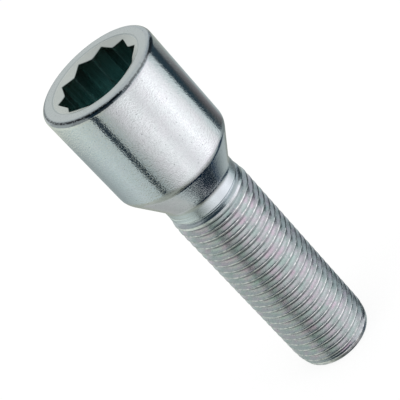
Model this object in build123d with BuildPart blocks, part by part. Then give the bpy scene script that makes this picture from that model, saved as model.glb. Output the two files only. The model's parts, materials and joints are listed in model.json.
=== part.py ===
"""Wheel bolt with an internal star drive, one cold-formed piece of zinc-plated steel.

The bolt stands on its threaded end with the head up. The origin is the centre of the flat end face,
+Z runs up the axis to the head, and one point of the star socket lies on +X. Sizes are millimetres.
"""
from build123d import *
import math
import os

# Shank. The thread is M14 x 1.5, rolled a little under 14 mm as such threads are, and the shank
# carries its outer diameter without the helix.
THREAD_DIAMETER = 13.85
SHANK_LENGTH = 40.0  # end face to the small end of the seat
NECK_DIAMETER = 13.05  # plain strip of the blank that the thread is rolled on
NECK_LENGTH = 1.6
RUNOUT_LENGTH = 3.1  # over this length the thread rises from the neck to its full diameter
END_DIAMETER = 12.8  # across the corner of the end face, before that corner is rounded
END_BOW_LENGTH = 3.2  # over this length the thread's end bows in
END_CORNER_RADIUS = 0.4

# Head with the conical seat
HEAD_DIAMETER = 20.0
HEAD_LENGTH = 24.35  # small end of the seat to the rim
SEAT_ANGLE = 60.0  # included angle of the cone
SEAT_SHOULDER_RADIUS = 2.5  # round between the head's side and the seat
NECK_FILLET_RADIUS = 0.8  # hollow between the seat and the neck
RIM_RADIUS = 0.8  # round on the outer edge of the rim

# Star socket
SOCKET_POINTS = 10
SOCKET_POINT_DIAMETER = 14.25  # circle through the points
SOCKET_CORNER_DIAMETER = 12.35  # circle through the inner corners
SOCKET_DEPTH = 15.0  # rim to the end of the star's flutes
PILOT_DIAMETER = 11.6  # hole that the flutes are punched around
PILOT_FLOOR_ANGLE = 120.0  # included angle of its pointed floor
MOUTH_DIAMETER = 15.7  # outer circle of the countersunk mouth
MOUTH_ANGLE = 130.0  # included angle of that countersink

# Heights and radii that follow from the sizes above
overall_length = SHANK_LENGTH + HEAD_LENGTH
thread_radius = THREAD_DIAMETER / 2
neck_radius = NECK_DIAMETER / 2
end_radius = END_DIAMETER / 2
head_radius = HEAD_DIAMETER / 2
seat_length = (head_radius - neck_radius) / math.tan(math.radians(SEAT_ANGLE / 2))
seat_top = SHANK_LENGTH + seat_length
neck_bottom = SHANK_LENGTH - NECK_LENGTH
thread_top = neck_bottom - RUNOUT_LENGTH
socket_floor = overall_length - SOCKET_DEPTH


def star_point(step):
    """A corner of the star's outline: even steps are points, odd steps are inner corners."""
    diameter = SOCKET_CORNER_DIAMETER if step % 2 else SOCKET_POINT_DIAMETER
    angle = math.radians(180 * step / SOCKET_POINTS)
    return (diameter / 2 * math.cos(angle), diameter / 2 * math.sin(angle))


def cone_height(radius, included_angle):
    """Height of a pointed cone of the given base radius."""
    return radius / math.tan(math.radians(included_angle / 2))


with BuildPart() as wheel_bolt:
    # Half section of the blank, turned about the axis
    with BuildSketch(Plane.XZ):
        with BuildLine():
            Line((0, 0), (end_radius, 0))
            TangentArc(
                (thread_radius, END_BOW_LENGTH),
                (end_radius, 0),
                tangent=(0, -1),
            )
            Polyline(
                (thread_radius, END_BOW_LENGTH),
                (thread_radius, thread_top),
                (neck_radius, neck_bottom),
                (neck_radius, SHANK_LENGTH),
                (head_radius, seat_top),
                (head_radius, overall_length),
                (0, overall_length),
                (0, 0),
            )
        make_face()
    revolve(axis=Axis.Z)

    # Rounded edges, each found by the circle that it lies on
    rings = wheel_bolt.edges().filter_by(GeomType.CIRCLE)
    for radius, height, edge_round in (
        (end_radius, 0, END_CORNER_RADIUS),
        (neck_radius, SHANK_LENGTH, NECK_FILLET_RADIUS),
        (head_radius, seat_top, SEAT_SHOULDER_RADIUS),
        (head_radius, overall_length, RIM_RADIUS),
    ):
        ring = rings.sort_by(lambda edge: abs(edge.radius - radius) + abs(edge.arc_center.Z - height))[0]
        fillet(ring, radius=edge_round)

    # Star flutes of the socket
    with BuildSketch(Plane.XY.offset(overall_length)):
        with BuildLine():
            Polyline(*[star_point(step) for step in range(2 * SOCKET_POINTS)], close=True)
        make_face()
    extrude(amount=-SOCKET_DEPTH, mode=Mode.SUBTRACT)

    # Pointed floor of the pilot hole, below the flutes
    with Locations((0, 0, socket_floor)):
        Cone(
            bottom_radius=0,
            top_radius=PILOT_DIAMETER / 2,
            height=cone_height(PILOT_DIAMETER / 2, PILOT_FLOOR_ANGLE),
            align=(Align.CENTER, Align.CENTER, Align.MAX),
            mode=Mode.SUBTRACT,
        )

    # Countersunk mouth, which cuts the flutes off on a slant
    with Locations((0, 0, overall_length)):
        Cone(
            bottom_radius=0,
            top_radius=MOUTH_DIAMETER / 2,
            height=cone_height(MOUTH_DIAMETER / 2, MOUTH_ANGLE),
            align=(Align.CENTER, Align.CENTER, Align.MAX),
            mode=Mode.SUBTRACT,
        )

wheel_bolt.part.label = "wheel_bolt"
os.makedirs("parts", exist_ok=True)
export_step(wheel_bolt.part, "parts/wheel_bolt.step")

box = wheel_bolt.part.bounding_box()
print(f"wheel_bolt: {box.size.X:.2f} x {box.size.Y:.2f} x {box.size.Z:.2f} mm")
print(f"seat runs from {SHANK_LENGTH:.2f} to {seat_top:.2f} mm above the end face")
print(f"volume {wheel_bolt.part.volume / 1000:.3f} cm3, centre at {wheel_bolt.part.center(CenterOf.MASS).Z:.2f} mm")
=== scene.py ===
# %% [markdown]
# # A wheel bolt with a star socket
# The bolt is one cold-formed piece of steel: a round head with a ten-point star socket, a conical seat, a
# short plain neck and a rolled M14 x 1.5 thread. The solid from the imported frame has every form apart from
# the helix of the thread, so this lesson builds the whole skin again as one closed surface, with the helix
# in it, and then gives it the bright zinc plating of the real one.
#
# Lengths are written in millimetres, as on a drawing, and become metres only when a mesh is made.

# %% Load the frame and take its main sizes
import bmesh
import bpy
import json
import math
import numpy as np
from mathutils import Matrix, Vector


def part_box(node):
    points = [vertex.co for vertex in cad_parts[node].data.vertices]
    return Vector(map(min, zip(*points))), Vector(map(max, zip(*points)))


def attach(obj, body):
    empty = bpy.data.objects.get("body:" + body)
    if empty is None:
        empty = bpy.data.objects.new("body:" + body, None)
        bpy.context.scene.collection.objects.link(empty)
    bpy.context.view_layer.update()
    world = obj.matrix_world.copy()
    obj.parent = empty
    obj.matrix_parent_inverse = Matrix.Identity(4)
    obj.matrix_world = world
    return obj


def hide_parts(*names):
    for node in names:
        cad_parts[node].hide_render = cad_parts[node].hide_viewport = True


MM = 0.001
NODE = "wheel_bolt"

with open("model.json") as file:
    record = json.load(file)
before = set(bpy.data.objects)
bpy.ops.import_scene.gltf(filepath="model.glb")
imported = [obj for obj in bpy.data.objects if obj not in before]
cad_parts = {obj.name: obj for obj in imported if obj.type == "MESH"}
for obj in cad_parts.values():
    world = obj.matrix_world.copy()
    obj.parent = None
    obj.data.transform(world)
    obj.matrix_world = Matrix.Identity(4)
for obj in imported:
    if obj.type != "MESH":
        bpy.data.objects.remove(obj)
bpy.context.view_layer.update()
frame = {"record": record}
low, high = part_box(NODE)
mounts = {mount["name"]: mount for mount in frame["record"]["mounts"]}

TOP = high.z / MM  # height of the rim over the end face, which stands at zero
HEAD_RADIUS = (high.x - low.x) / 2 / MM
THREAD_RADIUS = mounts["thread"]["dims"]["r_mm"]
print(f"bolt {TOP:.2f} mm long, head {2 * HEAD_RADIUS:.2f} mm, thread {2 * THREAD_RADIUS:.2f} mm across")

# %% [markdown]
# ## Columns round the axis
# Every ring of the skin has the same columns, so rings can be joined with plain quads. The star socket
# decides where the columns stand: its ten points and ten inner corners need columns of their own, with more
# columns close to each corner and fewer along the flat sides. A cosine spacing does that in one line.

# %% Angles of the columns
STAR_POINTS = 10
COLUMNS_PER_SIDE = 8  # columns on one flat side of the star, from a point to an inner corner

side_angle = math.pi / STAR_POINTS
along_side = (1 - np.cos(np.pi * np.arange(COLUMNS_PER_SIDE) / COLUMNS_PER_SIDE)) / 2
sides = np.arange(2 * STAR_POINTS)
PHI = ((sides[:, None] + along_side[None, :]) * side_angle).ravel()
COLUMNS = len(PHI)
gaps = np.degrees(np.diff(PHI))
print(f"{COLUMNS} columns, from {gaps.min():.2f} to {gaps.max():.2f} degrees apart")

# %% [markdown]
# ## The star
# Each side of the star is a straight line, and in polar form a straight line is its distance from the axis
# over the cosine of the angle to its foot. A punched corner is never perfectly sharp, so the outline is
# pulled slightly towards a circle close to each corner. That keeps it a function of the angle alone.

# %% Outline of the star socket
POINT_RADIUS = 14.25 / 2  # circle through the points
CORNER_RADIUS = 12.35 / 2  # circle through the inner corners
STAR_ROUND = 0.035  # how far a corner is pulled in or out
STAR_ROUND_ANGLE = math.radians(0.9)


def star_radius(phi):
    """Distance of the star's outline from the axis.

    The angle is folded into one side, from a point at 0 to an inner corner. The side is the line through
    both ends: r = a b sin(w) / (a sin(t) + b sin(w - t)) for a point at radius a, a corner at radius b and a
    side of angle w. Close to either end a bell curve of the angle takes the sharpness off.
    """
    folded = np.abs((phi + side_angle) % (2 * side_angle) - side_angle)
    line = POINT_RADIUS * CORNER_RADIUS * np.sin(side_angle)
    line = line / (POINT_RADIUS * np.sin(folded) + CORNER_RADIUS * np.sin(side_angle - folded))
    at_point = np.exp(-((folded / STAR_ROUND_ANGLE) ** 2))
    at_corner = np.exp(-(((side_angle - folded) / STAR_ROUND_ANGLE) ** 2))
    return line - STAR_ROUND * at_point + STAR_ROUND * at_corner


star = star_radius(PHI)
print(f"star from {2 * star.min():.2f} to {2 * star.max():.2f} mm across")

# %% [markdown]
# ## Helpers for a turned skin
# A turned part is a profile carried round the axis. Here a row of the skin is a pair of arrays, radius and
# height, with one entry per column, so a row may also follow the star. Straight runs, arcs and rounded edges
# each return a block of such rows, and the blocks are stacked into the profile.

# %% Rows of a profile
ROUND = np.ones(COLUMNS)


def run(start, stop, steps):
    """Straight run between two edges, each (radius, height): start + s (stop - start), for the steps s."""
    s = np.asarray(steps, float)[:, None]
    return np.stack([(start[i] + s * (stop[i] - start[i])) * ROUND for i in (0, 1)])


def arc(centre, radius, start, stop, count):
    """Arc in the section plane: centre + radius (cos a, sin a), with a from start to stop in degrees."""
    a = np.radians(np.linspace(start, stop, count))[:, None]
    return np.stack([(centre[0] + radius * np.cos(a)) * ROUND, (centre[1] + radius * np.sin(a)) * ROUND])


def eased(before, edge, after, count):
    """Rounded edge: the quadratic curve (1-s)^2 before + 2 s (1-s) edge + s^2 after, with s from 0 to 1."""
    s = np.linspace(0, 1, count)[:, None]
    weights = ((1 - s) ** 2, 2 * s * (1 - s), s**2)
    corners = (before, edge, after)
    return np.stack([sum(w * (p[i] * ROUND) for w, p in zip(weights, corners)) for i in (0, 1)])


def smooth(x):
    """Smooth step: 0 below 0, 1 above 1, and 3x^2 - 2x^3 between."""
    x = np.clip(x, 0, 1)
    return x * x * (3 - 2 * x)


print("a row has", len(ROUND), "columns, and half-way up the smooth step is", smooth(0.5))

# %% [markdown]
# ## Head, from the socket's floor to the neck
# The profile starts on the axis at the bottom of the socket, climbs the flutes, turns over the countersunk
# mouth, crosses the flat rim and comes down the outside to the neck. The countersink cuts the flutes off on
# a slant, so the upper end of each flute lies lower where the star is narrower: its height is a function of
# the star's radius.

# %% Sizes of the head
SHANK_LENGTH = 40.0  # end face to the small end of the seat
SEAT_HALF_ANGLE = math.radians(30)
SHOULDER_RADIUS = 2.5  # round between the head's side and the seat
RIM_RADIUS = 0.8
NECK_RADIUS = 13.05 / 2
NECK_FILLET = 2.0  # hollow that blends the seat into the neck, a few hundredths of a millimetre deep
NECK_LENGTH = 1.6
MOUTH_RADIUS = 15.7 / 2
MOUTH_SLOPE = math.radians(25)  # the countersink's slope from the rim
FLUTE_DEPTH = 15.0
PILOT_RADIUS = 11.6 / 2
FLOOR_HALF_ANGLE = math.radians(60)
PILOT_FLOOR = PILOT_RADIUS / math.tan(FLOOR_HALF_ANGLE)  # depth of the pointed floor
FLUTE_EDGE = 0.10  # easing of the flutes' upper edge
MOUTH_EDGE = 0.14  # easing of the mouth's outer circle
GROOVE_LEAD = 0.5  # the groove of the thread starts this far up the neck

flute_floor = TOP - FLUTE_DEPTH
flute_top = TOP - (MOUTH_RADIUS - star) * math.tan(MOUTH_SLOPE)
seat_top = SHANK_LENGTH + (HEAD_RADIUS - NECK_RADIUS) / math.tan(SEAT_HALF_ANGLE)
shoulder_rise = SHOULDER_RADIUS * math.tan(SEAT_HALF_ANGLE / 2)
fillet_drop = NECK_FILLET * math.tan(SEAT_HALF_ANGLE / 2)
neck_bottom = SHANK_LENGTH - NECK_LENGTH
print(f"seat from {SHANK_LENGTH:.2f} to {seat_top:.2f} mm up the bolt")
print(f"flutes end {TOP - flute_top.max():.2f} mm under the rim")

# %% Edges of the head's profile
EASED_ROWS, RIM_ROWS, SHOULDER_ROWS, FILLET_ROWS = 5, 11, 9, 7  # rows over each rounded edge
SLOPE_IN = (math.cos(MOUTH_SLOPE), math.sin(MOUTH_SLOPE))
seat_angle = math.degrees(SEAT_HALF_ANGLE)

pilot_edge = (PILOT_RADIUS, flute_floor)
flute_foot = (star, flute_floor)
flute_end = (star, flute_top)
below_flute_end = (star, flute_top - FLUTE_EDGE)
above_flute_end = (star + FLUTE_EDGE * SLOPE_IN[0], flute_top + FLUTE_EDGE * SLOPE_IN[1])
inside_mouth = (MOUTH_RADIUS - MOUTH_EDGE * SLOPE_IN[0], TOP - MOUTH_EDGE * SLOPE_IN[1])
outside_mouth = (MOUTH_RADIUS + MOUTH_EDGE, TOP)
rim_edge = (HEAD_RADIUS - RIM_RADIUS, TOP)
side_top = (HEAD_RADIUS, TOP - RIM_RADIUS)
side_foot = (HEAD_RADIUS, seat_top + shoulder_rise)
shoulder_centre = (HEAD_RADIUS - SHOULDER_RADIUS, seat_top + shoulder_rise)
fillet_centre = (NECK_RADIUS + NECK_FILLET, SHANK_LENGTH - fillet_drop)
groove_lead = (NECK_RADIUS, neck_bottom + GROOVE_LEAD)

shoulder = arc(shoulder_centre, SHOULDER_RADIUS, 0, -seat_angle, SHOULDER_ROWS)
fillet = arc(fillet_centre, NECK_FILLET, 180 - seat_angle, 180, FILLET_ROWS)
print(f"head's side from {side_foot[1]:.2f} to {side_top[1]:.2f} mm up the bolt")

# %% Profile of the head
# A list of steps says where the rows of a straight run lie, as shares of it. Rows close to its ends keep the
# shading of the flats apart from that of the edges.
head_blocks = {
    "floor": run((0, flute_floor - PILOT_FLOOR), pilot_edge, [0, 0.3, 0.65, 0.97, 1]),
    "ledge": run(pilot_edge, flute_foot, [0.06, 0.5, 0.94, 1]),
    "flutes": run(flute_foot, below_flute_end, [0.01, 0.06, 0.35, 0.7, 0.97]),
    "flute_edge": eased(below_flute_end, flute_end, above_flute_end, EASED_ROWS),
    "countersink": run(above_flute_end, inside_mouth, [0.08, 0.5, 0.92]),
    "mouth_edge": eased(inside_mouth, (MOUTH_RADIUS, TOP), outside_mouth, EASED_ROWS),
    "rim": run(outside_mouth, rim_edge, [0.08, 0.5, 0.92]),
    "rim_round": arc((rim_edge[0], side_top[1]), RIM_RADIUS, 90, 0, RIM_ROWS),
    "side": run(side_top, side_foot, [0.02, 0.2, 0.4, 0.6, 0.8, 0.98]),
    "shoulder": shoulder,
    "seat": run(shoulder[:, -1], fillet[:, 0], [0.03, 0.25, 0.5, 0.75, 0.97]),
    "fillet": fillet,
    "neck": run(fillet[:, -1], groove_lead, [0.1, 0.5, 0.9, 1]),
}
head_rows = np.concatenate(list(head_blocks.values()), axis=1)
print(f"{head_rows.shape[1]} rows in the head")

# %% [markdown]
# ## The thread
# A rolled thread is a groove wound round the blank. On a grid of level rings its sharp crests would cut
# across the quads and come out ragged, so here the rows climb with the helix: one turn further round, a row
# is one pitch higher. Each row then keeps its place in the thread's section, crest, flank or root, all the
# way along. At the closing seam a row meets the row one pitch on. Rows that would run past either end are
# held at that end's height, where the groove has faded out, and the points that fall together there are
# welded later.

# %% Section of the thread
PITCH = 1.5
NOMINAL_RADIUS = 14 / 2
UNDERSIZE = NOMINAL_RADIUS - THREAD_RADIUS  # a rolled thread stays a little under, which widens its crests
FLANK_ANGLE = math.radians(30)  # a flank leans this far from square to the axis
METRIC_DEPTH, METRIC_ROOT = 0.6134, 0.1443  # depth and root radius of a metric groove, in pitches
CREST_FLAT = PITCH / 8 + 2 * UNDERSIZE * math.tan(FLANK_ANGLE)
GROOVE_DEPTH = METRIC_DEPTH * PITCH - UNDERSIZE
ROOT_RADIUS = METRIC_ROOT * PITCH
FLANK_SLOPE = 1 / math.tan(FLANK_ANGLE)  # depth gained for each millimetre along the axis
CREST_EASE = 0.05  # easing of the crest's two edges

root_start = PITCH / 2 - ROOT_RADIUS * math.cos(FLANK_ANGLE)
crest_end = CREST_FLAT / 2
half_section = np.array(
    [
        0, crest_end - CREST_EASE, crest_end, crest_end + CREST_EASE, crest_end + 2.2 * CREST_EASE,
        root_start - CREST_EASE, root_start, (root_start + PITCH / 2) / 2, PITCH / 2,
    ]
)
SECTION = np.concatenate([half_section, PITCH - half_section[-2:0:-1]]) / PITCH
ROWS_PER_PITCH = len(SECTION)


def groove(turn):
    """Depth of the groove below the crest at a share of the pitch from one crest to the next.

    The distance to the nearer crest is s. The depth is 0 on the crest, grows by the flank's slope past the
    crest's edge, and ends in a round root. The crest's edge is eased by a smooth maximum of 0 and the
    flank's line.
    """
    s = np.abs((turn + 0.5) % 1 - 0.5) * PITCH
    line = (s - crest_end) * FLANK_SLOPE
    flank = (line + np.sqrt(line**2 + CREST_EASE**2)) / 2
    from_root = np.clip(PITCH / 2 - s, 0, PITCH / 2 - root_start)
    root = GROOVE_DEPTH - ROOT_RADIUS + np.sqrt(ROOT_RADIUS**2 - from_root**2)
    return np.where(s < root_start, flank, root)


print(f"{ROWS_PER_PITCH} rows in one pitch, groove {groove(0.5):.3f} mm deep")

# %% Ends of the thread
RUNOUT_LENGTH = 3.1
GROOVE_START = 1.1  # length over which the groove reaches its full depth
END_RADIUS = 12.8 / 2
END_BOW = 3.2
END_CORNER = 0.4
END_FADE = 1.5  # length over which the groove fades at the end
THREAD_TURN = 0.48  # share of a turn by which the helix is turned about the axis

bow_drop = THREAD_RADIUS - END_RADIUS
bow_radius = (END_BOW**2 + bow_drop**2) / (2 * bow_drop)
bow_axis = THREAD_RADIUS - bow_radius
corner_axis = bow_axis + math.sqrt((bow_radius - END_CORNER) ** 2 - (END_BOW - END_CORNER) ** 2)
corner_start = math.atan2(END_CORNER - END_BOW, corner_axis - bow_axis)
thread_bottom = END_CORNER * (1 + math.sin(corner_start))
thread_top = groove_lead[1]


def thread_radius(height, turn):
    """Radius of the threaded shank at a height, for a place in the thread's section.

    The crest rises from the neck over the run-out, and is cut down by the arc of the bowed end. The groove
    is a form cut below the crest. Towards the neck that form lifts out of the metal, so the groove gets
    narrower as it gets shallower, and at the other end it fades out.
    """
    below_neck = neck_bottom - height
    crest = NECK_RADIUS + (THREAD_RADIUS - NECK_RADIUS) * smooth(below_neck / RUNOUT_LENGTH)
    full_lift = NECK_RADIUS - (THREAD_RADIUS - GROOVE_DEPTH)
    lift = full_lift * (1 - smooth((below_neck + GROOVE_LEAD) / GROOVE_START))
    cut = np.clip(crest - (THREAD_RADIUS + lift - groove(turn)), 0, None)
    into_bow = np.clip(END_BOW - height, 0, None)
    bow = bow_axis + np.sqrt(bow_radius**2 - into_bow**2)
    return np.minimum(crest - cut * smooth((height - thread_bottom) / END_FADE), bow)


turns_long = (thread_top - thread_bottom) / PITCH
print(f"thread from {thread_bottom:.2f} to {thread_top:.2f} mm, {turns_long:.1f} turns")

# %% Rows of the thread and of the end
CORNER_ROWS = 6  # rows over the rounded corner of the end
SPARE_TURNS = 3  # so that the rows at both ends are held at the end's height all the way round

turns = math.ceil(turns_long) + SPARE_TURNS
places = (np.arange(turns)[:, None] + SECTION[None, :]).ravel()
climb = places[:, None] - 1 + PHI[None, :] / (2 * np.pi) - THREAD_TURN
thread_height = np.clip(thread_bottom + climb * PITCH, thread_bottom, thread_top)
thread_rows = np.stack([thread_radius(thread_height, places[:, None] * ROUND), thread_height])
below_crest = thread_radius(thread_height, 0 * thread_height) - thread_rows[0]

end_corner = arc((corner_axis, END_CORNER), END_CORNER, math.degrees(corner_start), -90, CORNER_ROWS)
end_face = run((corner_axis, 0), (0, 0), [0.03, 0.3, 0.65, 1])
end_rows = np.concatenate([end_corner, end_face], axis=1)
print(f"{thread_rows.shape[1]} rows in the thread, {end_rows.shape[1]} in the end")

# %% [markdown]
# ## Marks for the finish
# The plating isn't the same all over: it hardly gets into the socket, and the crests of the thread
# are rubbed. Some marks are painted light and shade: the crests and the inner corners of the star get a
# painted highlight, and the rim's round gets a painted dark line in place of a dark reflection. Each of these
# is a mark, a number from 0 to 1 on every point of the skin, that the material reads later. They could be
# painted on an image, but the skin would have to be unwrapped for it. Marks are made from the same rows as
# the shape, so they sit exactly on it.

# %% Marks on the head
FADING = np.linspace(1, 0, EASED_ROWS)  # over the rows of an eased edge
HOLLOW = np.linspace(0, 1, fillet.shape[1])  # from the seat to the neck
CORNER_HIGHLIGHT_WIDTH = math.radians(0.8)  # painted highlight along the inner corners of the star
NECK_DULLNESS = 0.4


def head_mark(**values):
    """A mark over the head's rows: a number, or one per row, on each named block, and 0 on the others."""
    rows = [values.get(name, 0.0) * np.ones(block.shape[1]) for name, block in head_blocks.items()]
    return np.concatenate(rows)[:, None] * ROUND


# The floor and its ledge get a little plating, and the rim keeps a trace of the cutter.
corner_highlight = np.exp(-((((PHI % (2 * side_angle)) - side_angle) / CORNER_HIGHLIGHT_WIDTH) ** 2))
socket_mark = head_mark(floor=0.6, ledge=0.8, flutes=1, flute_edge=FADING)
corner_highlight_mark = head_mark(flutes=1, flute_edge=FADING) * corner_highlight
matt_mark = head_mark(
    flute_edge=1 - FADING, countersink=1, mouth_edge=0.4, rim=0.35,
    fillet=NECK_DULLNESS * HOLLOW, neck=NECK_DULLNESS,
)
line_mark = head_mark(mouth_edge=1 - np.abs(np.linspace(-1, 1, EASED_ROWS)))
neck_mark = head_mark(fillet=HOLLOW, neck=1)
print(f"marks on {socket_mark.size} points of the head")

# %% Painted dark line on the rim's round
RIM_LINE_ANGLE = 240  # degrees round the axis, where the painted line is darkest
RIM_LINE_WIDTH = 70  # degrees
RIM_LINE_LEAST = 0.5  # strength of the painted line on the far side of the rim
RIM_LINE_TILT = 54  # degrees up the rim's round, where the dark line runs
RIM_LINE_LEAN = 2.5  # degrees round the axis over which that line sinks by one degree
RIM_LINE_REACH = (-40, 50)  # degrees from the darkest place, between which the line leans
RIM_LINE_SPREAD = 14  # degrees of the round that it takes up to either side

from_darkest_line = (np.degrees(PHI) - RIM_LINE_ANGLE + 180) % 360 - 180
rim_line_strength = RIM_LINE_LEAST + (1 - RIM_LINE_LEAST) * np.exp(-((from_darkest_line / RIM_LINE_WIDTH) ** 2))
line_tilt = RIM_LINE_TILT - np.clip(from_darkest_line, *RIM_LINE_REACH) / RIM_LINE_LEAN
round_tilt = np.linspace(90, 0, head_blocks["rim_round"].shape[1])
# A painted dark line on the rim's round stands in for a dark reflection and is strongest on one side.
rim_line_mark = head_mark(rim_round=1) * rim_line_strength
rim_line_mark[rim_line_mark[:, 0] > 0] *= np.exp(-(((round_tilt[:, None] - line_tilt) / RIM_LINE_SPREAD) ** 4))
print(f"rim's edge worn up to {rim_line_mark.max():.2f}")

# %% Marks on the thread
CREST_BAND_DEPTH = 0.12  # mm below the crest that is lightened, for wear and as a painted highlight

in_thread = smooth((neck_bottom - thread_height) / RUNOUT_LENGTH)
crest_highlight_mark = smooth(1 - below_crest / CREST_BAND_DEPTH) * in_thread
plain_head, plain_thread, plain_end = (
    np.zeros(rows.shape[1:]) for rows in (head_rows, thread_rows, end_rows)
)
MARKS = {
    "socket": [socket_mark, plain_thread, plain_end],
    "corner_highlight": [corner_highlight_mark, plain_thread, plain_end],
    "matt": [matt_mark, NECK_DULLNESS * (1 - in_thread) ** 2, plain_end],
    "line": [line_mark, plain_thread, plain_end],
    # edge: the painted dark line on the rim's round
    "edge": [rim_line_mark, plain_thread, plain_end],
    "neck": [neck_mark, 1 - in_thread, plain_end],
    "groove": [plain_head, below_crest / GROOVE_DEPTH, plain_end],
    # crest: crests lightened for wear and as a painted highlight, and the whole end face
    "crest": [plain_head, crest_highlight_mark, plain_end + 1],
}
print(len(MARKS), "marks:", ", ".join(MARKS))

# %% [markdown]
# ## One closed skin
# The three stretches are stacked into one list of points, and each gets its own quads. Welding then joins
# them ring to ring, closes the two poles on the axis and drops the quads that shrank to nothing at the ends
# of the thread. A closed skin has no open edges, which is counted at the end: every edge must have exactly
# two faces.

# %% Points and quads


def points_of(rows):
    """Points of a block of rows: (r cos phi, r sin phi, height), in metres."""
    radius, height = rows
    return np.stack([radius * np.cos(PHI), radius * np.sin(PHI), height], axis=-1).reshape(-1, 3) * MM


def quads_of(row_count, first, seam_step=0):
    """Quads of a block of rows whose first point has the number first.

    Each quad joins a row to the next one and a column to the next one. Across the seam, a row joins the row
    that lies seam_step rows on.
    """
    row = np.arange(row_count - 1 - seam_step)[:, None]
    column = np.arange(COLUMNS)[None, :]
    here = row * COLUMNS + column
    beside = np.where(column == COLUMNS - 1, (row + seam_step) * COLUMNS, here + 1)
    quads = np.stack([here, here + COLUMNS, beside + COLUMNS, beside], axis=-1)
    return quads.reshape(-1, 4) + first


print(len(points_of(thread_rows)), "points in the thread before welding")

# %% The welded skin
WELD = 0.0005  # mm


def skin(name, blocks, marks):
    """One welded mesh object from blocks of (rows, seam step, facing), where facing -1 turns the quads over."""
    points = [points_of(rows) for rows, _, _ in blocks]
    starts = np.cumsum([0] + [len(p) for p in points])
    quads = [
        quads_of(rows.shape[1], start, step)[:, ::facing]
        for (rows, step, facing), start in zip(blocks, starts)
    ]
    mesh = bpy.data.meshes.new(name)
    mesh.from_pydata(np.concatenate(points).tolist(), [], np.concatenate(quads).tolist())
    for mark, values in marks.items():
        layer = mesh.attributes.new(mark, "FLOAT", "POINT")
        layer.data.foreach_set("value", np.concatenate([v.ravel() for v in values]).astype(np.float32))
    shape = bmesh.new()
    shape.from_mesh(mesh)
    bmesh.ops.remove_doubles(shape, verts=shape.verts, dist=WELD * MM)
    bmesh.ops.recalc_face_normals(shape, faces=shape.faces)
    shape.to_mesh(mesh)
    shape.free()
    edge_of_corner = np.empty(len(mesh.loops), np.int32)
    mesh.loops.foreach_get("edge_index", edge_of_corner)
    faces_at_edge = np.bincount(edge_of_corner, minlength=len(mesh.edges))
    print(name, "edges without two faces:", np.count_nonzero(faces_at_edge != 2))
    mesh.polygons.foreach_set("use_smooth", np.ones(len(mesh.polygons), bool))
    piece = bpy.data.objects.new(name, mesh)
    bpy.context.scene.collection.objects.link(piece)
    return piece


bolt = skin(
    "plated_wheel_bolt",
    [(head_rows, 0, 1), (thread_rows, ROWS_PER_PITCH, -1), (end_rows, 0, 1)],
    MARKS,
)
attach(bolt, "root")
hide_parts(NODE)
bolt.data.calc_loop_triangles()
print(f"skin of {len(bolt.data.vertices)} points and {len(bolt.data.loop_triangles)} triangles")

# %% [markdown]
# ## Bright zinc plating
# Zinc plating with a clear blue passivation is a metal skin a few thousandths of a millimetre thick, over
# steel that was cold-formed in a die. To the eye it is a bright mirror that isn't quite sharp. It sends back
# most of the light, faintly cool, with patches of pink and green where the passive film is thicker or
# thinner. The steel under it is finely pitted, so reflections have grainy edges. Down in the socket the bath
# hardly plates, and the steel stays dark.
#
# The tone is built up in layers, one over the other. A painted image could be wrapped round the bolt
# instead, but it would have seams and a fixed sharpness. Patterns in Object coordinates have neither, and
# they stay on the metal from any side.

# %% Colours


def srgb(code):
    """Linear RGBA of a hex colour such as #C6CBCB: the sRGB curve is undone channel by channel."""
    value = np.array([int(code[i : i + 2], 16) for i in (1, 3, 5)]) / 255
    linear = np.where(value <= 0.04045, value / 12.92, ((value + 0.055) / 1.055) ** 2.4)
    return (*linear.tolist(), 1.0)


print("linear grey of #808080:", round(srgb("#808080")[0], 3))

# %% Nodes
BLEND = {"data_type": "RGBA"}  # a Mix node that lays one colour over another
DIM = {"data_type": "RGBA", "blend_type": "MULTIPLY"}  # a Mix node that dims one colour by another
TIMES = {"operation": "MULTIPLY"}  # a Math node
LARGER = {"operation": "MAXIMUM"}


def node(tree, kind, settings=None, stops=(), **inputs):
    """Adds a node with its settings, inputs and links, and on a ramp its stops, each (place, colour).

    An input goes by its name, with _ for a space, or by i and its number. A socket is linked to it, a node
    is linked from its first output in use, and any other value is set on it.
    """
    made = tree.nodes.new(kind)
    for key, value in (settings or {}).items():
        setattr(made, key, value)
    for at, _ in stops[1:-1]:
        made.color_ramp.elements.new(at)
    for index, (at, colour) in enumerate(stops):
        made.color_ramp.elements[index].position = at
        made.color_ramp.elements[index].color = colour
    for key, value in inputs.items():
        socket = made.inputs[int(key[1:])] if key[1:].isdigit() else made.inputs[key.replace("_", " ")]
        if isinstance(value, bpy.types.Node):
            value = next(output for output in value.outputs if output.enabled)
        if isinstance(value, bpy.types.NodeSocket):
            tree.links.new(value, socket)
        else:
            socket.default_value = value
    return made


def per_metre(size):
    """Scale of a texture whose features have about the given size in millimetres: one over it in metres."""
    return 1 / (size * MM)


def empty_material(name):
    """A new material with an empty node tree."""
    material = bpy.data.materials.new(name)
    material.use_nodes = True
    material.node_tree.nodes.clear()
    return material


print("a feature of 1 mm has a scale of", round(per_metre(1)))

# %% Place, height and marks
plating = empty_material("zinc_plating")
tree = plating.node_tree
place = node(tree, "ShaderNodeTexCoord").outputs["Object"]
height = node(tree, "ShaderNodeSeparateXYZ", Vector=place).outputs["Z"]
mark = {
    name: node(tree, "ShaderNodeAttribute", {"attribute_name": name}).outputs["Fac"] for name in MARKS
}
print("plating reads the place, the height and", len(mark), "marks")

# %% [markdown]
# ### Film and clouds
# The passive film shows its tints on the thread. The head was handled, so there it is thin and nearly grey.
# One flat colour would look painted, so noise lays the film on in patches, and finer noise clouds the zinc.

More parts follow.
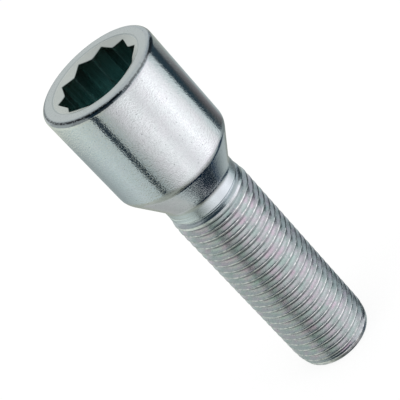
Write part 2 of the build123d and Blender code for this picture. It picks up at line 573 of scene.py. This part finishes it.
# %% Film and clouds
PATCH = 2.2  # mm, patches of the film
CLOUD = 0.35  # mm
CLOUD_DEPTH = 0.05  # how much darker or brighter a cloud is
FILM_ON_HEAD = 0.12  # share of the film that is left on the head
FILM_ABOVE, FILM_BELOW = 1.0, 2.0  # mm from the neck's lower end, where the film starts and where it is full

patches = node(tree, "ShaderNodeTexNoise", Vector=place, Scale=per_metre(PATCH), Detail=3.0, Roughness=0.6)
film = node(
    tree, "ShaderNodeValToRGB", Fac=patches,
    stops=[(0.36, srgb("#D8E4E1")), (0.5, srgb("#E2E5E6")), (0.64, srgb("#EAE0E8"))],
)
on_thread = node(
    tree, "ShaderNodeMapRange", Value=height,
    From_Min=(neck_bottom + FILM_ABOVE) * MM, From_Max=(neck_bottom - FILM_BELOW) * MM,
    To_Min=FILM_ON_HEAD, To_Max=1.0,
)
tinted = node(tree, "ShaderNodeMix", BLEND, Factor=on_thread, i6=srgb("#D7DBDE"), i7=film)
clouds = node(tree, "ShaderNodeTexNoise", Vector=place, Scale=per_metre(CLOUD), Detail=2.0, Roughness=0.6)
clouding = node(
    tree, "ShaderNodeMapRange", Value=clouds, From_Min=0.3, From_Max=0.7,
    To_Min=1 - CLOUD_DEPTH, To_Max=1 + CLOUD_DEPTH,
)
zinc = node(tree, "ShaderNodeMix", DIM, Factor=1.0, i6=tinted, i7=clouding)
print(f"film in patches of {PATCH} mm, clouds of {CLOUD} mm")

# %% [markdown]
# ### Painted shade in pits and roots, lightened crests
# Single deeper pits are dark dots of painted shade, and the roots of the thread get painted shade. Its
# crests have bright and dull places, partly wear where they rubbed against other metal and partly a painted
# highlight. The pits could be modelled, but at a tenth of a millimetre only their darkness shows, so cells
# of a Voronoi pattern with a dark middle are enough.

# %% Painted shade in pits and roots, lightened crests
PIT_SPACING = 1.0  # mm
PIT_RADIUS = 0.12  # mm
PIT_SHADE_STRENGTH = 0.4
ROOT_SHADE_FROM, ROOT_SHADE_TO = 0.7, 0.98  # shares of the groove's depth, where the painted shade starts and where it is full
ROOT_SHADE_STRENGTH = 0.35  # how far painted shade darkens the zinc in a root
FLECK = 0.7  # mm, bright and dull places along a crest
CREST_HIGHLIGHT_SHARE = 0.75  # how far the lightening, part wear and part painted highlight, covers the film on a crest

cells = node(tree, "ShaderNodeTexVoronoi", Vector=place, Scale=per_metre(PIT_SPACING))
# Painted shade in the pits: dark dots in #4A5557.
pit_shade = node(
    tree, "ShaderNodeMapRange", Value=cells,
    From_Min=PIT_RADIUS / PIT_SPACING, From_Max=PIT_RADIUS / 2 / PIT_SPACING,
    To_Min=0.0, To_Max=PIT_SHADE_STRENGTH,
)
pit_shaded = node(tree, "ShaderNodeMix", BLEND, Factor=pit_shade, i6=zinc, i7=srgb("#4A5557"))
# Painted shade in the roots of the thread, in #2E3836.
root_shade = node(
    tree, "ShaderNodeMapRange", Value=mark["groove"],
    From_Min=ROOT_SHADE_FROM, From_Max=ROOT_SHADE_TO, To_Min=0.0, To_Max=ROOT_SHADE_STRENGTH,
)
root_shaded = node(tree, "ShaderNodeMix", BLEND, Factor=root_shade, i6=pit_shaded, i7=srgb("#2E3836"))
# Crests are lightened, partly for wear where they rubbed and partly as a painted highlight on the crest lines.
flecks = node(tree, "ShaderNodeTexNoise", Vector=place, Scale=per_metre(FLECK), Detail=1.0)
fleck_tone = node(
    tree, "ShaderNodeValToRGB", Fac=flecks, stops=[(0.38, srgb("#BEC4C6")), (0.62, srgb("#FFFFFF"))]
)
crest_highlight = node(tree, "ShaderNodeMath", TIMES, i0=mark["crest"], i1=CREST_HIGHLIGHT_SHARE)
crest_highlighted = node(tree, "ShaderNodeMix", BLEND, Factor=crest_highlight, i6=root_shaded, i7=fleck_tone)
print(f"a pit about every {PIT_SPACING} mm, flecks of {FLECK} mm on the crests")

# %% [markdown]
# ### Mouth, neck and painted rim line
# The countersunk mouth was cut last and is matt and pale, with a fine line where it starts. The neck wasn't
# rolled and is clean. A dark line is painted along the rim's round in place of a dark reflection there. A
# smooth line would look drawn, so noise breaks it up.

# %% Mouth, neck and painted rim line
LINE_BREAK = 0.3  # mm, breaks in the painted line along the rim
LINE_BREAK_LEAST = 0.45  # share of the painted line that is left between the breaks

pale = node(tree, "ShaderNodeMix", BLEND, Factor=mark["matt"], i6=crest_highlighted, i7=srgb("#F4F4EF"))
lined = node(tree, "ShaderNodeMix", DIM, Factor=mark["line"], i6=pale, i7=srgb("#E0E3E3"))
necked = node(tree, "ShaderNodeMix", BLEND, Factor=mark["neck"], i6=lined, i7=srgb("#DCE4E9"))
line_breaks = node(tree, "ShaderNodeTexNoise", Vector=place, Scale=per_metre(LINE_BREAK), Detail=0.0)
line_broken = node(
    tree, "ShaderNodeMapRange", Value=line_breaks, From_Min=0.38, From_Max=0.46, To_Min=LINE_BREAK_LEAST, To_Max=1.0
)
rim_line = node(tree, "ShaderNodeMath", TIMES, i0=mark["edge"], i1=line_broken)
# The painted dark line on the rim's round, in #1C2226, broken up by noise.
plated = node(tree, "ShaderNodeMix", DIM, Factor=rim_line, i6=necked, i7=srgb("#1C2226"))
print(f"rim's edge broken up by dents of {LINE_BREAK} mm")

# %% [markdown]
# ### Bare steel in the socket
# The punch drew fine lines down the flutes. The steel is blue-green with oil deep down and browner near the
# rim, and a painted highlight lies along the inner corners of the star. Noise that is stretched along the
# axis draws all the lines at once, where a cut for each would take many more points.

# %% Bare steel in the socket
DRAW_LINE = 0.4  # mm, between the drawn lines
LINE_LENGTH = 25  # how many times longer than wide a drawn line is
BROWN_FROM, BROWN_TO = 5.0, 0.8  # mm under the rim, where the brown starts and where it is full
BROWN_SHARE = 0.7
CORNER_HIGHLIGHT = 0.9

lengthwise = node(tree, "ShaderNodeMapping", Vector=place, Scale=(1.0, 1.0, 1 / LINE_LENGTH))
draw_lines = node(tree, "ShaderNodeTexNoise", Vector=lengthwise, Scale=per_metre(DRAW_LINE), Detail=1.0)
oiled = node(
    tree, "ShaderNodeValToRGB", Fac=draw_lines, stops=[(0.3, srgb("#8CB6B3")), (0.7, srgb("#BADBD9"))]
)
near_rim = node(
    tree, "ShaderNodeMapRange", Value=height,
    From_Min=(TOP - BROWN_FROM) * MM, From_Max=(TOP - BROWN_TO) * MM,
    To_Min=0.0, To_Max=BROWN_SHARE,
)
browned = node(tree, "ShaderNodeMix", BLEND, Factor=near_rim, i6=oiled, i7=srgb("#7E7F6C"))
on_corner_highlight = node(tree, "ShaderNodeMath", TIMES, i0=mark["corner_highlight"], i1=CORNER_HIGHLIGHT)
# Painted highlight along the inner corners of the star, in #F4FAF9.
bare = node(tree, "ShaderNodeMix", BLEND, Factor=on_corner_highlight, i6=browned, i7=srgb("#F4FAF9"))
tone = node(tree, "ShaderNodeMix", BLEND, Factor=mark["socket"], i6=plated, i7=bare)
print(f"drawn lines {DRAW_LINE} mm apart down the flutes")

# %% [markdown]
# ### Grain and gloss
# The grain of the formed steel scatters every reflection, most on the head and less on the rolled thread.
# The head is the sharpest mirror, the thread is softer, and the countersunk mouth is matt. A higher
# roughness alone would only blur, so a bump of about a hundredth of a millimetre makes the grain itself.

# %% Grain and gloss
GRAIN = 0.2  # mm, drawn a little coarser than the real pits so that it shows
GRAIN_DEPTH = 0.0118  # mm
THREAD_GRAIN = 0.5  # grain left on the rolled neck and thread
GRAIN_FADE = 1.0  # mm over and under the seat's small end, between which the grain gets weaker
SOCKET_GRAIN = 0.15
HEAD_ROUGHNESS, THREAD_ROUGHNESS, MATT_ROUGHNESS = 0.12, 0.23, 0.45

grain = node(tree, "ShaderNodeTexNoise", Vector=place, Scale=per_metre(GRAIN), Detail=0.0)
along_bolt = node(
    tree, "ShaderNodeMapRange", Value=height,
    From_Min=(SHANK_LENGTH + GRAIN_FADE) * MM, From_Max=(SHANK_LENGTH - GRAIN_FADE) * MM,
    To_Min=1.0, To_Max=THREAD_GRAIN,
)
outside = node(tree, "ShaderNodeMapRange", Value=mark["socket"], To_Min=1.0, To_Max=SOCKET_GRAIN)
pitting = node(tree, "ShaderNodeMath", TIMES, i0=along_bolt, i1=outside)
bump = node(tree, "ShaderNodeBump", Strength=pitting, Distance=GRAIN_DEPTH * MM, Height=grain)
softer = node(tree, "ShaderNodeMath", LARGER, i0=mark["socket"], i1=on_thread)
gloss = node(
    tree, "ShaderNodeMapRange", Value=softer, From_Min=FILM_ON_HEAD, From_Max=1.0,
    To_Min=HEAD_ROUGHNESS, To_Max=THREAD_ROUGHNESS,
)
dulled = node(tree, "ShaderNodeMapRange", Value=mark["matt"], To_Min=gloss, To_Max=MATT_ROUGHNESS)
metal = node(
    tree, "ShaderNodeBsdfPrincipled", Base_Color=tone, Metallic=1.0, Roughness=dulled, Normal=bump
)
node(tree, "ShaderNodeOutputMaterial", Surface=metal)
bolt.data.materials.append(plating)
print("plating with", len(tree.nodes), "nodes")

# %% [markdown]
# ## A table that keeps the shadow
# The bolt stands on a white table. A white page round an object could be made by flooding the table with
# light, but that light would also fall on the bolt. Here the board itself is grey enough to keep a soft
# shadow, and a glow that only rays from the eye, from a mirror or through glass pick up brings it to white.

# %% Paint of the table
TABLE_GLOW = 0.82  # share of the table's white that no shadow takes away
WHITE = srgb("#FFFFFF")


def seen_directly(tree):
    """1 for rays from the camera, from a mirror or through glass, and 0 for others: the largest of three."""
    path = node(tree, "ShaderNodeLightPath").outputs
    either = node(tree, "ShaderNodeMath", LARGER, i0=path["Is Camera Ray"], i1=path["Is Glossy Ray"])
    return node(tree, "ShaderNodeMath", LARGER, i0=either, i1=path["Is Transmission Ray"])


board = empty_material("white_table")  # matt painted board, which keeps its shadows and glows to the eye
paint = node(board.node_tree, "ShaderNodeBsdfDiffuse", Color=srgb("#8F8F8F"))
level = node(board.node_tree, "ShaderNodeMath", TIMES, i0=seen_directly(board.node_tree), i1=TABLE_GLOW)
glow = node(board.node_tree, "ShaderNodeEmission", Color=WHITE, Strength=level)
both = node(board.node_tree, "ShaderNodeAddShader", i0=glow, i1=paint)
node(board.node_tree, "ShaderNodeOutputMaterial", Surface=both)
print("board that glows at", TABLE_GLOW)

# %% Table
TABLE_SIZE = 4000.0  # mm


def stage_grid(name, points, material):
    """A stage object from a grid of points in millimetres: each cell of the grid is a quad."""
    rows, columns = points.shape[:2]
    here = (np.arange(rows - 1)[:, None] * columns + np.arange(columns - 1)[None, :]).ravel()
    quads = np.stack([here, here + 1, here + columns + 1, here + columns], axis=1)
    mesh = bpy.data.meshes.new(name)
    mesh.from_pydata((points.reshape(-1, 3) * MM).tolist(), [], quads.tolist())
    made = bpy.data.objects.new(name, mesh)
    bpy.context.scene.collection.objects.link(made)
    mesh.materials.append(material)
    return made


table_edge = np.array([-0.5, 0.5]) * TABLE_SIZE
table_x, table_y = np.meshgrid(table_edge, table_edge)
table = stage_grid("table", np.stack([table_x, table_y, 0 * table_x], axis=-1), board)
table.visible_glossy = False
print(f"table {TABLE_SIZE:.0f} mm wide, which mirrors see through")

# %% [markdown]
# ## Cards under the table
# Bare metal has no look of its own: it shows what stands round it. Seen from above, the upright sides of the
# bolt mirror what lies below and in front of it, so a photographer puts the metal on a glass table and lays
# pale and dark cards on the ground under it. They draw the long soft streaks down the head and the thread.
# Each ring of cards serves one part of the bolt, because each part mirrors the ground at its own slant.
#
# Ray visibility makes that ground: the cards are seen by mirrors only, and the table by everything but
# mirrors. A world image could do the same, but a few cards with names are easier to move.

# %% Levels of the cards
PAPERS = {  # near-white papers, each with its own faint tint, and one deep blue
    "white": "#FFFFFF", "pale": "#FBFFFC", "cool": "#F0FFFF", "mint": "#F8FFF2", "lilac": "#FFFBFF",
    "blue": "#5AB0FF",
}
# Each ring: inner and outer radius in mm, then its cards, each with its bearing from the camera's side in
# degrees, how much light it sends back, and its paper.
CARD_RINGS = {
    "seat_cards": (0, 350, [
        (-180, 0.48, "pale"), (-141, 0.51, "pale"), (-120, 0.63, "pale"), (-106, 0.58, "cool"),
        (-97, 0.34, "cool"), (-90, 0.03, "blue"), (90, 0.03, "blue"), (117, 0.02, "blue"),
        (132, 0.36, "cool"), (145, 0.50, "cool"),
    ]),
    "low_shoulder_cards": (350, 700, [
        (-180, 0.48, "pale"), (-141, 0.48, "pale"), (-118, 0.60, "pale"), (-90, 0.45, "mint"),
        (-60, 0.25, "mint"), (-32, 0.10, "mint"), (8, 0.40, "white"), (60, 0.34, "white"),
        (85, 0.26, "cool"), (102, 0.06, "blue"), (118, 0.06, "blue"), (132, 0.36, "cool"),
        (145, 0.50, "cool"),
    ]),
    "shoulder_cards": (700, 1155, [
        (-180, 0.48, "pale"), (-141, 0.48, "pale"), (-118, 0.60, "pale"), (-90, 0.45, "mint"),
        (-60, 0.40, "mint"), (-32, 0.35, "mint"), (8, 0.72, "white"), (60, 0.66, "white"),
        (85, 0.45, "cool"), (102, 0.06, "blue"), (118, 0.06, "blue"), (132, 0.36, "cool"),
        (145, 0.50, "cool"),
    ]),
    "thread_cards": (1155, 1795, [
        (-180, 0.42, "mint"), (-144, 0.44, "mint"), (-116, 0.50, "mint"), (-90, 0.58, "mint"),
        (-66, 0.43, "mint"), (-41, 0.24, "mint"), (-17, 0.66, "white"), (5, 1.00, "white"),
        (25, 1.00, "lilac"), (54, 1.10, "lilac"), (70, 0.96, "lilac"), (84, 0.80, "lilac"),
        (100, 0.56, "cool"), (117, 0.28, "cool"), (145, 0.25, "cool"),
    ]),
    "head_cards": (1795, 2250, [
        (-180, 0.42, "cool"), (-144, 0.41, "cool"), (-118, 0.57, "cool"), (-93, 0.74, "cool"),
        (-62, 0.65, "cool"), (-41, 0.49, "cool"), (-20, 0.84, "white"), (6, 1.25, "white"),
        (26, 0.98, "white"), (56, 1.55, "white"), (86, 1.00, "white"), (102, 0.82, "cool"),
        (115, 0.07, "cool"), (128, 0.11, "lilac"), (142, 0.22, "lilac"), (158, 0.50, "cool"),
    ]),
    "flank_cards": (2250, 16000, [
        (-180, 0.55, "mint"), (-125, 0.80, "mint"), (-100, 0.86, "mint"), (-72, 0.70, "mint"),
        (-39, 0.52, "mint"), (-16, 0.60, "white"), (3, 0.80, "white"), (40, 0.90, "lilac"),
        (62, 1.20, "lilac"), (75, 1.18, "lilac"), (88, 0.78, "cool"), (103, 0.44, "cool"),
        (125, 0.28, "cool"),
    ]),
}
print(sum(len(cards) for _, _, cards in CARD_RINGS.values()), "cards in", len(CARD_RINGS), "rings")

# %% Paper of a ring
CAMERA_AZIMUTH = 10.82  # degrees from -Y towards +X


def towards(bearing, elevation):
    """Unit vectors to a bearing from the camera's side and an elevation: (sin b cos e, -cos b cos e, sin e)."""
    b = np.radians(np.asarray(bearing) + CAMERA_AZIMUTH)
    e = np.radians(np.asarray(elevation))
    return np.stack([np.sin(b) * np.cos(e), -np.cos(b) * np.cos(e), np.sin(e) + 0 * b], axis=-1)


def card_paper(name, cards):
    """Light that a ring of cards sends back: a ramp of the bearing, which blends each card into the next."""
    material = empty_material(name)
    tree = material.node_tree
    place = node(tree, "ShaderNodeTexCoord").outputs["Object"]
    turned = node(
        tree, "ShaderNodeMapping", Vector=place, Rotation=(0.0, 0.0, math.radians(90 - CAMERA_AZIMUTH))
    )
    around = node(tree, "ShaderNodeTexGradient", {"gradient_type": "RADIAL"}, Vector=turned).outputs["Fac"]
    closed = cards + [(180, *cards[0][1:])]
    stops = [
        ((bearing + 180) / 360, (*(level * channel for channel in srgb(PAPERS[paper])[:3]), 1))
        for bearing, level, paper in closed
    ]
    light = node(tree, "ShaderNodeEmission", Color=node(tree, "ShaderNodeValToRGB", stops=stops, Fac=around))
    node(tree, "ShaderNodeOutputMaterial", Surface=light)
    return material


print("camera's side is at", towards(0, 0).round(3))

# %% Rings of cards on the ground
GROUND = np.array([0, 0, -1000.0])  # mm, on the bolt's axis, under the table
RING_COLUMNS = 97


def for_mirrors_only(thing):
    """Hides a thing from the camera and from soft light, so that only mirrors see it."""
    thing.visible_camera = False
    thing.visible_diffuse = False
    thing.visible_shadow = False
    thing.visible_transmission = False
    thing.visible_volume_scatter = False


for name, (inner, outer, cards) in CARD_RINGS.items():
    bearing, distance = np.meshgrid(np.linspace(-180, 180, RING_COLUMNS), np.array([inner, outer], float))
    points = towards(bearing, 0) * distance[..., None] + GROUND
    for_mirrors_only(stage_grid(name, points, card_paper(name, cards)))
print("ground laid out to", max(outer for _, outer, _ in CARD_RINGS.values()), "mm from the axis")

# %% [markdown]
# ## Dark cloths
# The two dark streaks down the head are dark cloths on the ground, just over the cards. A darker card would
# blend softly into its neighbours. A cloth has sharp edges, and the grain of the steel breaks those up into
# the speckled streaks that a cold-formed head shows.

# %% Dark cloths on the ground
CLOTH_HEIGHT = np.array([0, 0, 1.0])  # mm over the cards
CLOTH_COLUMNS = 13
CLOTHS = {  # colour, then distance from the axis in mm with the bearings of the left and the right edge
    "left_cloth": (
        "#182C38", [(1800, -54.5, -47), (1880, -56.5, -45.5), (2250, -58, -46), (4500, -57.5, -46.5)]
    ),
    "right_cloth": ("#2A3D47", [(1795, 106, 116), (2000, 104, 117), (2250, 101, 125), (4500, 100, 128)]),
}


def plain_glow(name, code):
    """Cloth or paper that sends back the same light everywhere, of a hex colour."""
    material = empty_material(name)
    light = node(material.node_tree, "ShaderNodeEmission", Color=srgb(code))
    node(material.node_tree, "ShaderNodeOutputMaterial", Surface=light)
    return material


for name, (code, edges) in CLOTHS.items():
    distance, left, right = np.array(edges, float).T
    bearing = left[:, None] + np.linspace(0, 1, CLOTH_COLUMNS)[None, :] * (right - left)[:, None]
    points = towards(bearing, 0) * distance[:, None, None] + GROUND + CLOTH_HEIGHT
    for_mirrors_only(stage_grid(name, points, plain_glow(name, code)))
print(len(CLOTHS), "dark cloths laid")

# %% [markdown]
# ## Curtains and screens
# Rounded edges and the flanks of the thread mirror what stands upright round the bolt. A dark curtain behind
# the camera draws the thin line round the rim and the lines between the crests, and grey curtains and
# screens at the sides set how strong those lines are there. A pale ceiling over everything keeps the rim and
# the mouth, which face up, from turning white. Each is a patch of a sphere round the bolt's middle.

# %% Curtains, screens and ceiling
# Each screen: its two bearings, its foot and its top in degrees of elevation, its distance in mm, its
# colour. A foot or top is level, or follows a bell curve given as (at the ends, in the middle, width).
SCREENS = {
    "dark_curtain": ((-75, 14), (34, 22, 40), (66, 74, 40), 400, "#182C38"),
    "curtain_corner": ((14, 25), (60, 22, 22), (40, 74, 22), 395, "#182C38"),
    "front_left_curtain": ((-42, -8), -4, (36, 26, 40), 395, "#2A3236"),
    "front_curtain": ((-8, 30), -4, (36, 26, 40), 395, "#7A8286"),
    "left_strip": ((-57, -40), 0, 36, 390, "#182C38"),
    "left_curtain": ((-165, -75), 34, 66, 400, "#A6ACAE"),
    "left_low_screen": ((-95, -50), -4, 36, 410, "#8C9292"),
    "left_far_screen": ((-142, -95), -4, 36, 410, "#A8AEAE"),
    "left_screen": ((-125, -45), 62, 80, 410, "#7F8586"),
    "right_strip": ((92, 134), -10, 32, 390, "#2A353C"),
    "right_curtain": ((14, 110), (-4, 8, 60), (18, 62, 75), 400, "#D4DADE"),
    "right_screen": ((100, 145), -4, 50, 410, "#A5AEB4"),
    "zenith_screen": ((-180, 180), 80, 90, 420, "#ABB0B2"),
    "pale_ceiling": ((-180, 180), -4, 90, 3000, "#C6CCCC"),
}
SCREEN_COLUMNS, SCREEN_ROWS = 73, 13
BOLT_MIDDLE = np.array([0, 0, TOP / 2])


def edge_elevation(edge, bearing):
    """Elevation of a foot or top: level, or ends + (middle - ends) exp(-(bearing / width)^2)."""
    ends, middle, width = edge if isinstance(edge, tuple) else (edge, edge, 1)
    return ends + (middle - ends) * np.exp(-((bearing / width) ** 2))


for name, (reach, foot, top, distance, code) in SCREENS.items():
    bearing, share = np.meshgrid(np.linspace(*reach, SCREEN_COLUMNS), np.linspace(0, 1, SCREEN_ROWS))
    low_edge, top_edge = edge_elevation(foot, bearing), edge_elevation(top, bearing)
    points = towards(bearing, low_edge + share * (top_edge - low_edge)) * distance + BOLT_MIDDLE
    for_mirrors_only(stage_grid(name, points, plain_glow(name, code)))
print(len(SCREENS), "curtains and screens hung")

# %% [markdown]
# ## Lamps and surroundings
# Three soft lamps light the table and give it the bolt's shadow. Mirrors don't see them, so they leave no
# square highlights. The world round everything is white to the eye, to mirrors and through glass, and gives
# a plainer level to matt surfaces.

# %% Lamps
LAMPS = {  # bearing and elevation in degrees, distance and size in metres, radiance
    "top_softbox": (180, 80, 0.8, 0.7, 0.25),
    "left_softbox": (-70, 35, 0.8, 0.5, 0.9),
    "right_softbox": (60, 30, 0.9, 0.4, 1.2),
}

for name, (bearing, elevation, distance, size, radiance) in LAMPS.items():
    light = bpy.data.lights.new(name, "AREA")
    light.size = size
    light.energy = math.pi * size**2 * radiance  # watts of a matt square that shines evenly
    lamp = bpy.data.objects.new(name, light)
    bpy.context.scene.collection.objects.link(lamp)
    back = Vector(towards(bearing, elevation))
    lamp.location = Vector(BOLT_MIDDLE * MM) + back * distance
    lamp.rotation_mode = "QUATERNION"
    lamp.rotation_quaternion = back.to_track_quat("Z", "Y")
    lamp.visible_glossy = False
print(len(LAMPS), "lamps")

# %% World
MATT_LEVEL = 0.62  # what matt surfaces get from the world

world = bpy.data.worlds.new("studio")
bpy.context.scene.world = world
world.use_nodes = True
sky = world.node_tree
sky.nodes.clear()
sky_level = node(sky, "ShaderNodeMapRange", Value=seen_directly(sky), To_Min=MATT_LEVEL, To_Max=1.0)
sky_light = node(sky, "ShaderNodeBackground", Color=WHITE, Strength=sky_level)
node(sky, "ShaderNodeOutputWorld", Surface=sky_light)
bpy.context.scene.view_settings.view_transform = "Standard"
print("world set, view transform", bpy.context.scene.view_settings.view_transform)

# %% [markdown]
# ## Camera
# The camera was found by fitting the bolt's outline in the photograph. It looks down at the standing bolt
# and is rolled about its own axis, so that the bolt lies across the picture from corner to corner. One point
# of the bolt's axis is pinned: its height, the pixel where it appears and its depth fix the camera's place.

# %% Camera at the photograph's view
IMAGE_SIZE = 400  # pixels
FOCAL_PIXELS = 1421.8
SENSOR = 36.0  # mm
CAMERA_ELEVATION = 30.717  # degrees
CAMERA_ROLL = 42.853  # degrees, clockwise
PINNED_HEIGHT = TOP - 30.0  # mm, point on the bolt's axis
PINNED_PIXEL = (215.3, 204.5)
PINNED_DEPTH = 219.97  # mm, along the camera's axis

roll = math.radians(CAMERA_ROLL)
forward = -towards(0, CAMERA_ELEVATION)
level_right = towards(90, 0)
level_up = np.cross(level_right, forward)
right = math.cos(roll) * level_right - math.sin(roll) * level_up
up = np.cross(right, forward)
offset = (np.array(PINNED_PIXEL) - IMAGE_SIZE / 2) / FOCAL_PIXELS * PINNED_DEPTH
eye = np.array([0, 0, PINNED_HEIGHT]) - offset[0] * right + offset[1] * up - PINNED_DEPTH * forward

lens = bpy.data.cameras.new("camera")
lens.sensor_width = SENSOR
lens.lens = FOCAL_PIXELS / IMAGE_SIZE * SENSOR
lens.clip_start = 0.01
camera = bpy.data.objects.new("camera", lens)
bpy.context.scene.collection.objects.link(camera)
turned = np.eye(4)
turned[:3, :3] = np.stack([right, up, -forward], axis=1)
turned[:3, 3] = eye * MM
camera.matrix_world = Matrix(turned.tolist())
bpy.context.scene.camera = camera
print(f"camera with a {lens.lens:.1f} mm lens, {np.linalg.norm(eye):.0f} mm from the end of the bolt")

# %% [markdown]
# ## Size and finish
# The skin must keep the solid's size. This last cell only brings the scene up to date.

# %% Bring the scene up to date
bpy.context.view_layer.update()
